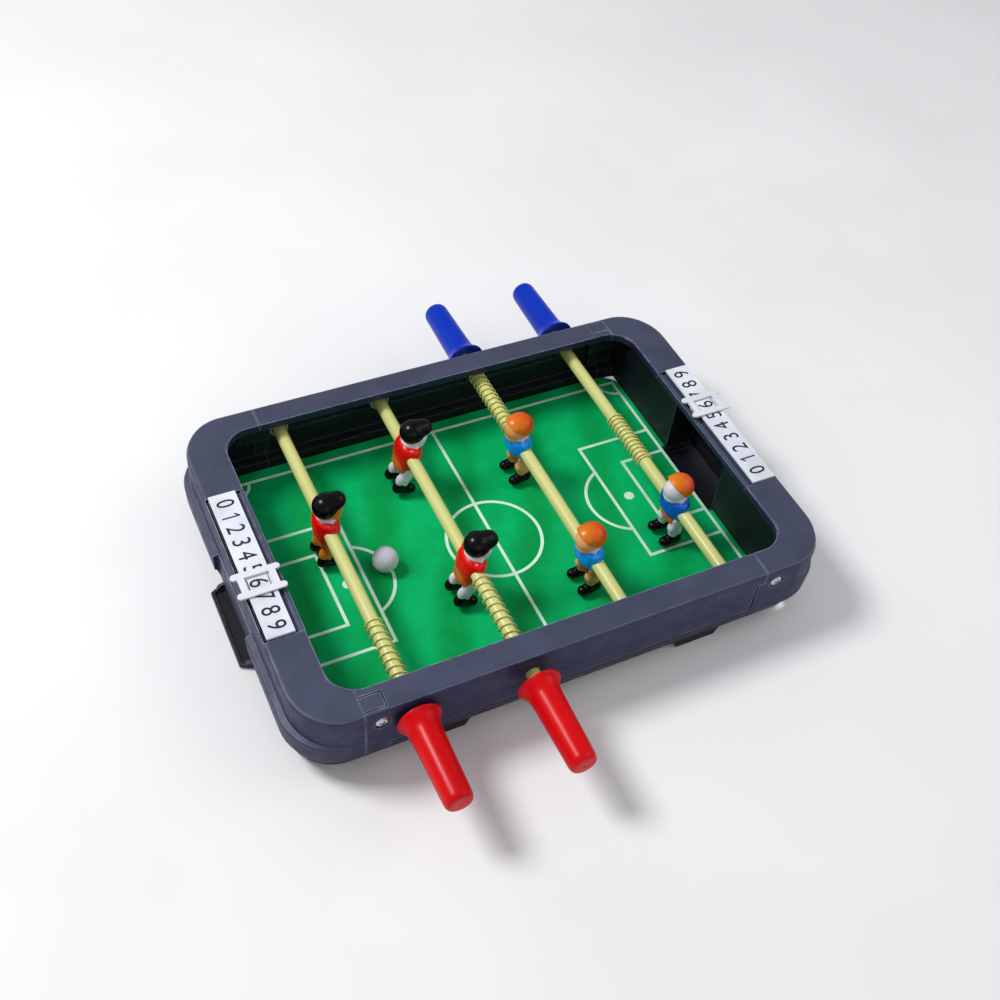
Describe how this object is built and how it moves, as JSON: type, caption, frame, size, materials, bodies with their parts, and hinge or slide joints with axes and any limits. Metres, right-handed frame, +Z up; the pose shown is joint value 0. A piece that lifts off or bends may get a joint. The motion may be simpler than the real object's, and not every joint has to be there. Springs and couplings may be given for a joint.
{
  "type": "tabletop foosball",
  "caption": "Tabletop foosball: rounded slate frame around a green pitch, with sprung yellow rods carrying small figures, grips at opposite walls, goals and sliding score markers.",
  "frame": {"origin": "on the ground, under the centre of the pitch, which is the centre of the frame's plan", "axes": "+X along the pitch from the left goal to the right goal, +Y along the rods from the front wall to the back wall, +Z up"},
  "size_m": [0.275, 0.282, 0.0503],
  "materials": {
    "frame_plastic": "slate blue-black moulded plastic, fine satin grain",
    "tray_plastic": "near-black moulded plastic",
    "pitch_print": "printed green pitch with pale lines, laminated",
    "score_white": "white moulded plastic, black digits",
    "screw_steel": "bright zinc-plated steel",
    "collar_grey": "grey moulded plastic",
    "spring_wire": "thin bright wire, yellow-toned",
    "pin_steel": "drawn steel wire",
    "rod_yellow": "pale yellow moulded tube",
    "handle_red": "glossy red moulded grip",
    "handle_blue": "glossy blue moulded grip",
    "team_red": "painted figure, red shirt and black hair",
    "team_blue": "painted figure, blue shirt and orange hair",
    "ball_white": "off-white hard ball"
  },
  "bodies": {
    "frame": {"front_wall": "frame_plastic", "back_wall": "frame_plastic", "left_end_frame": "frame_plastic", "right_end_frame": "frame_plastic", "base_tray": "tray_plastic", "pitch_sheet": "pitch_print", "left_goal_box": "frame_plastic", "right_goal_box": "frame_plastic", "left_goal_cover": "frame_plastic", "right_goal_cover": "frame_plastic", "left_score_plate": "score_white", "right_score_plate": "score_white", "screw_front_left": "screw_steel", "screw_front_right": "screw_steel", "screw_back_left": "screw_steel", "screw_back_right": "screw_steel", "rod_collar_1": "collar_grey", "rod_collar_2": "collar_grey", "rod_collar_3": "collar_grey", "rod_collar_4": "collar_grey", "spring_1": "spring_wire", "spring_2": "spring_wire", "spring_3": "spring_wire"},
    "left_score_marker": {"left_score_marker": "score_white"},
    "right_score_marker": {"right_score_marker": "score_white"},
    "guide_pin_1": {"guide_pin_1": "pin_steel"},
    "rod_1": {"rod_1": "rod_yellow", "handle_1": "handle_red", "goalkeeper_1": "team_red"},
    "guide_pin_2": {"guide_pin_2": "pin_steel"},
    "rod_2": {"rod_2": "rod_yellow", "handle_2": "handle_red", "player_2_back": "team_red", "player_2_front": "team_red"},
    "guide_pin_3": {"guide_pin_3": "pin_steel"},
    "rod_3": {"rod_3": "rod_yellow", "handle_3": "handle_blue", "player_3_back": "team_blue", "player_3_front": "team_blue"},
    "guide_pin_4": {"guide_pin_4": "pin_steel"},
    "rod_4": {"rod_4": "rod_yellow", "handle_4": "handle_blue", "goalkeeper_4": "team_blue", "spring_4": "spring_wire"},
    "ball_1": {"ball_1": "ball_white"},
    "ball_2": {"ball_2": "ball_white"}
  },
  "joints": [
    {"name": "rod_1_spin", "type": "hinge", "parent": "frame", "child": "guide_pin_1", "pos_m": [-0.0812, 0, 0.0325], "axis": [0, 1, 0], "continuous": true},
    {"name": "rod_1_slide", "type": "slide", "parent": "guide_pin_1", "child": "rod_1", "axis": [0, -1, 0], "range_m": [-0.001, 0.028]},
    {"name": "rod_2_spin", "type": "hinge", "parent": "frame", "child": "guide_pin_2", "pos_m": [-0.0274, 0, 0.0325], "axis": [0, 1, 0], "continuous": true},
    {"name": "rod_2_slide", "type": "slide", "parent": "guide_pin_2", "child": "rod_2", "axis": [0, -1, 0], "range_m": [-0.001, 0.028], "stiffness_N_per_m": 60, "springref_m": -0.001, "deforming": ["spring_2"]},
    {"name": "rod_3_spin", "type": "hinge", "parent": "frame", "child": "guide_pin_3", "pos_m": [0.0274, 0, 0.0325], "axis": [0, 1, 0], "continuous": true},
    {"name": "rod_3_slide", "type": "slide", "parent": "guide_pin_3", "child": "rod_3", "axis": [0, 1, 0], "range_m": [-0.002, 0.028], "stiffness_N_per_m": 60, "springref_m": -0.002, "deforming": ["spring_3"]},
    {"name": "rod_4_spin", "type": "hinge", "parent": "frame", "child": "guide_pin_4", "pos_m": [0.0812, 0, 0.0325], "axis": [0, 1, 0], "continuous": true},
    {"name": "rod_4_slide", "type": "slide", "parent": "guide_pin_4", "child": "rod_4", "axis": [0, 1, 0], "range_m": [-0.002, 0.028]},
    {"name": "left_score_slide", "type": "slide", "parent": "frame", "child": "left_score_marker", "axis": [0, 1, 0], "range_m": [-0.0242, 0.0484]},
    {"name": "right_score_slide", "type": "slide", "parent": "frame", "child": "right_score_marker", "axis": [0, 1, 0], "range_m": [-0.0484, 0.0242]},
    {"name": "ball_1_roll", "type": "slide", "parent": "frame", "child": "ball_1", "axis": [0, 1, 0], "range_m": [-0.072, 0.068]},
    {"name": "ball_2_roll", "type": "slide", "parent": "frame", "child": "ball_2", "axis": [0, 1, 0], "range_m": [-0.024, 0.008]}
  ]
}
